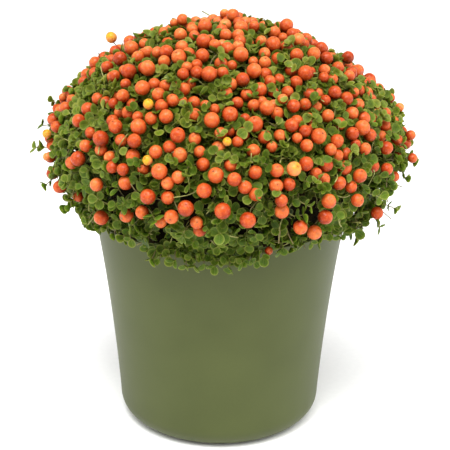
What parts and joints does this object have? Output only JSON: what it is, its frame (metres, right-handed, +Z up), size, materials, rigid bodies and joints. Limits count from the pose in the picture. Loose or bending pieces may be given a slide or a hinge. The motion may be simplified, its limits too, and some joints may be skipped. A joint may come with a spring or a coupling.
{
  "type": "coral bead plant in a pot",
  "caption": "Round plastic pot filled with peat, under a low dome of small round leaves dotted all over with orange bead-like berries.",
  "frame": {"origin": "centre of the pot's base, on the surface that the pot stands on", "axes": "+Z up along the pot's axis, -Y towards the viewer of the picture, +X to the viewer's right"},
  "size_m": [0.2005, 0.1989, 0.2133],
  "materials": {
    "pot_plastic": "satin",
    "peat": "matte",
    "foliage": "satin"
  },
  "bodies": {
    "root": {"pot": "pot_plastic", "peat": "peat", "clump_middle": "foliage", "clump_1": "foliage", "clump_2": "foliage", "clump_3": "foliage", "clump_4": "foliage", "clump_5": "foliage", "clump_6": "foliage"}
  },
  "joints": []
}
